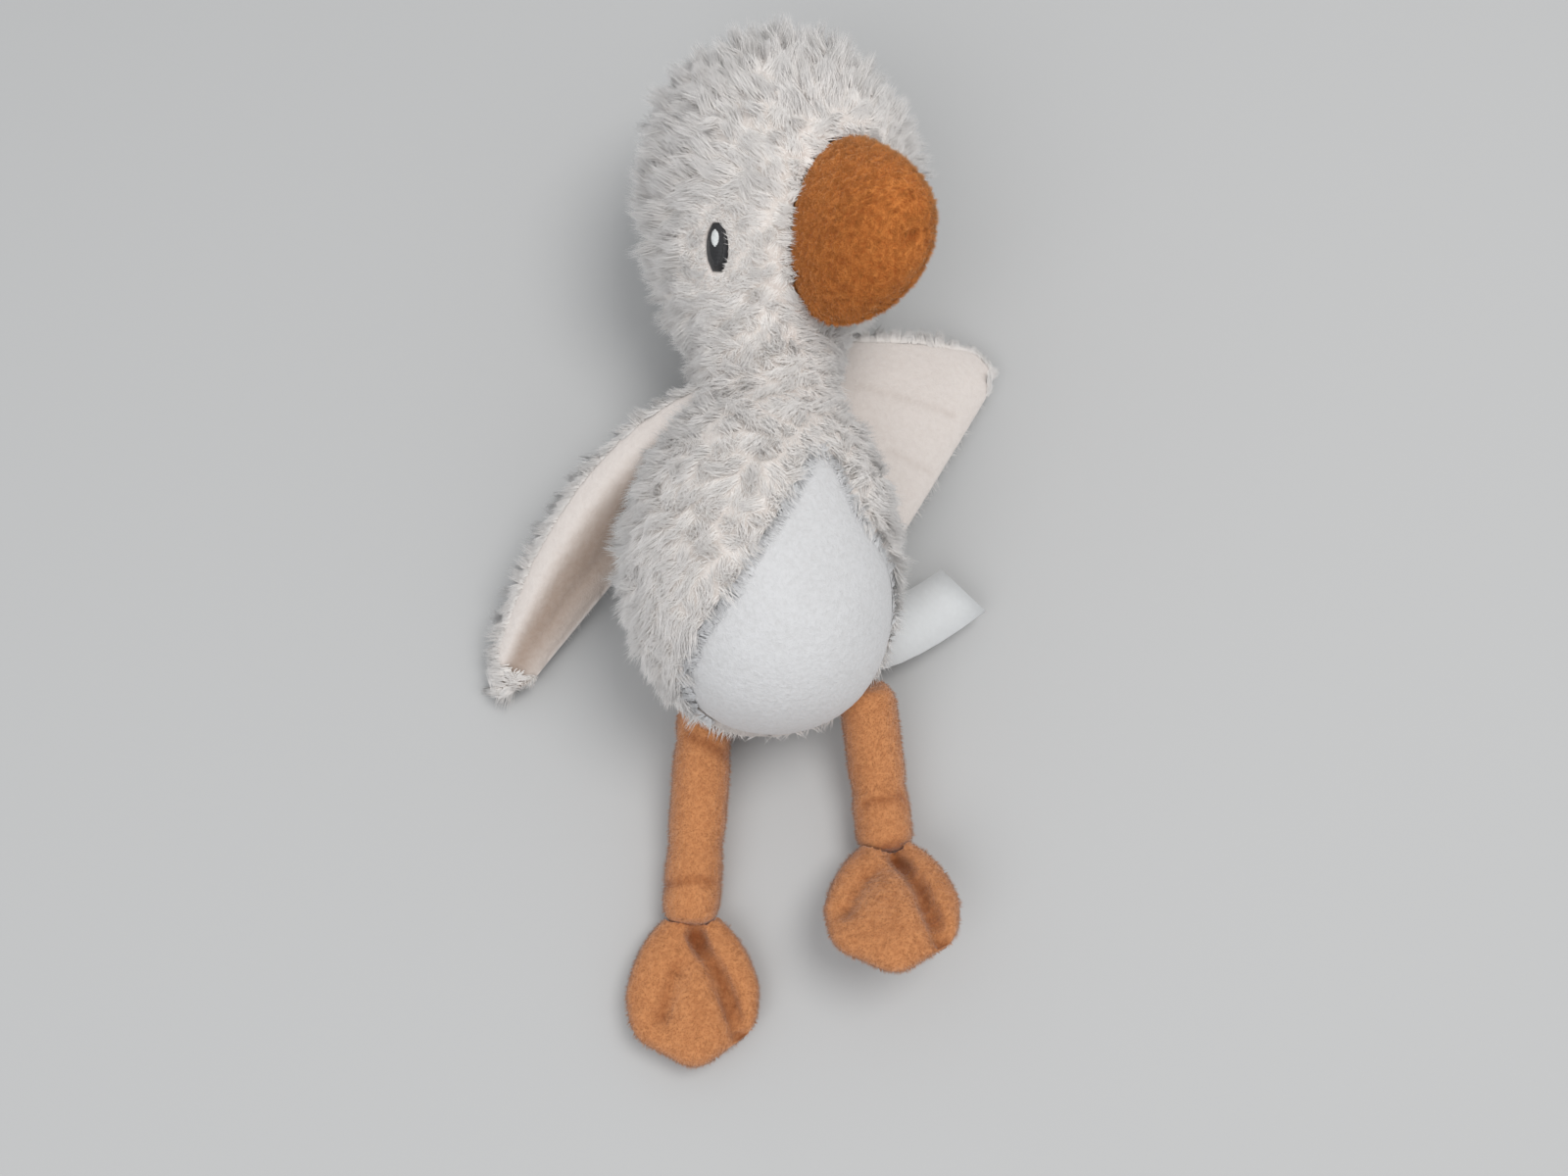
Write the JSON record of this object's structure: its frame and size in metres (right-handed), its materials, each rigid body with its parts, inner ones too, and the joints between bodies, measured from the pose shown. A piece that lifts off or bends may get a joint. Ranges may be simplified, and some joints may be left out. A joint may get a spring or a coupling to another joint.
{
  "type": "plush goose",
  "caption": "Cuddly plush goose lying on its back: long-pile body, smooth belly panel, padded beak, lined wings, soft legs with webbed feet",
  "frame": {"origin": "middle of the flat spot under the back, on the table", "axes": "+Y runs up the body to the head, +X to the goose's own left, +Z out of the table through the belly"},
  "size_m": [0.1137, 0.2233, 0.0685],
  "materials": {
    "pile": "long cream plush pile",
    "belly": "short white plush",
    "lining": "smooth cream short plush",
    "beak": "short orange-brown plush",
    "leg": "short light orange plush",
    "eye_thread": "black satin embroidery",
    "glint_thread": "pale satin embroidery",
    "ribbon": "white woven ribbon, bare"
  },
  "bodies": {
    "root": {"plush_body": "pile", "belly_panel": "belly", "beak": "beak", "eye_right": "eye_thread", "eye_right_glint": "glint_thread", "eye_left": "eye_thread", "eye_left_glint": "glint_thread", "wing_right_outer": "pile", "wing_right_lining": "lining", "wing_left_outer": "pile", "wing_left_lining": "lining", "leg_right": "leg", "leg_left": "leg", "foot_right": "leg", "foot_left": "leg", "side_label": "ribbon"}
  },
  "joints": []
}
